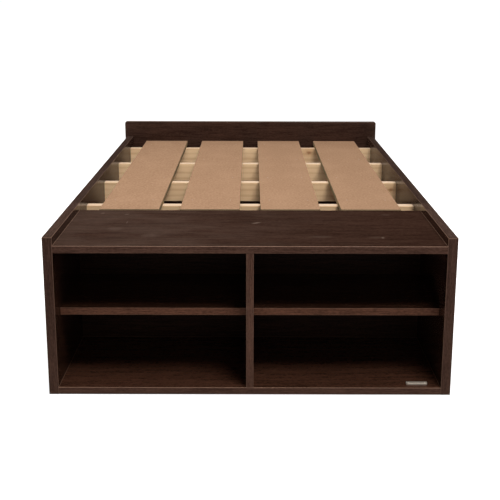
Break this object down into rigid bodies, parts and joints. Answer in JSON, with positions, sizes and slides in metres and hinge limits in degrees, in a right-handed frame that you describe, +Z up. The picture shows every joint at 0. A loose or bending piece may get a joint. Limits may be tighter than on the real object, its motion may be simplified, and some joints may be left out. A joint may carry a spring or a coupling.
{
  "type": "platform bed",
  "caption": "Low single platform bed in dark wood with an open niche unit at its foot, side lips round the mattress and a slatted deck on cross beams.",
  "frame": {"origin": "on the floor, at the centre of the bed's plan outline", "axes": "+Z up; -Y is the foot with the open niches, +Y the head panel; +X to the right when looking at the foot"},
  "size_m": [1.068, 1.926, 0.485],
  "materials": {
    "dark_board": "satin dark-brown wood-grain melamine on particle board",
    "dark_edge": "satin dark-brown edge band",
    "pine": "planed bare pine",
    "raw_board": "raw fibreboard, matt",
    "beech": "bare beech",
    "zinc": "bright zinc plating",
    "dark_plastic": "matt dark-brown plastic"
  },
  "bodies": {
    "root": {"side_left": "dark_board", "side_right": "dark_board", "rail_left": "dark_board", "rail_right": "dark_board", "head_panel": "dark_board", "top_board": "dark_board", "bottom_board": "dark_board", "divider": "dark_board", "shelf_left": "dark_board", "shelf_right": "dark_board", "niche_back": "dark_board", "cross_beam_1": "pine", "cross_beam_2": "pine", "cross_beam_3": "pine", "cross_beam_4": "pine", "slat_1": "raw_board", "slat_2": "raw_board", "slat_3": "raw_board", "slat_4": "raw_board", "cleat_left_1": "pine", "cleat_left_2": "pine", "cleat_left_3": "pine", "cleat_left_4": "pine", "cleat_right_1": "pine", "cleat_right_2": "pine", "cleat_right_3": "pine", "cleat_right_4": "pine", "corner_block_left": "pine", "corner_block_right": "pine", "side_front_bands": "dark_edge", "side_top_bands": "dark_edge", "board_edge_bands": "dark_edge", "divider_edge_band": "dark_edge", "shelf_edge_bands": "dark_edge", "rail_edge_bands": "dark_edge", "head_edge_band": "dark_edge", "connecting_screws": "zinc", "cover_caps": "dark_plastic", "dowels": "beech", "cam_locks": "zinc", "cam_bolts": "zinc", "shelf_pins": "zinc", "wood_screws": "zinc", "slat_nails": "zinc", "floor_glides": "dark_plastic"}
  },
  "joints": []
}
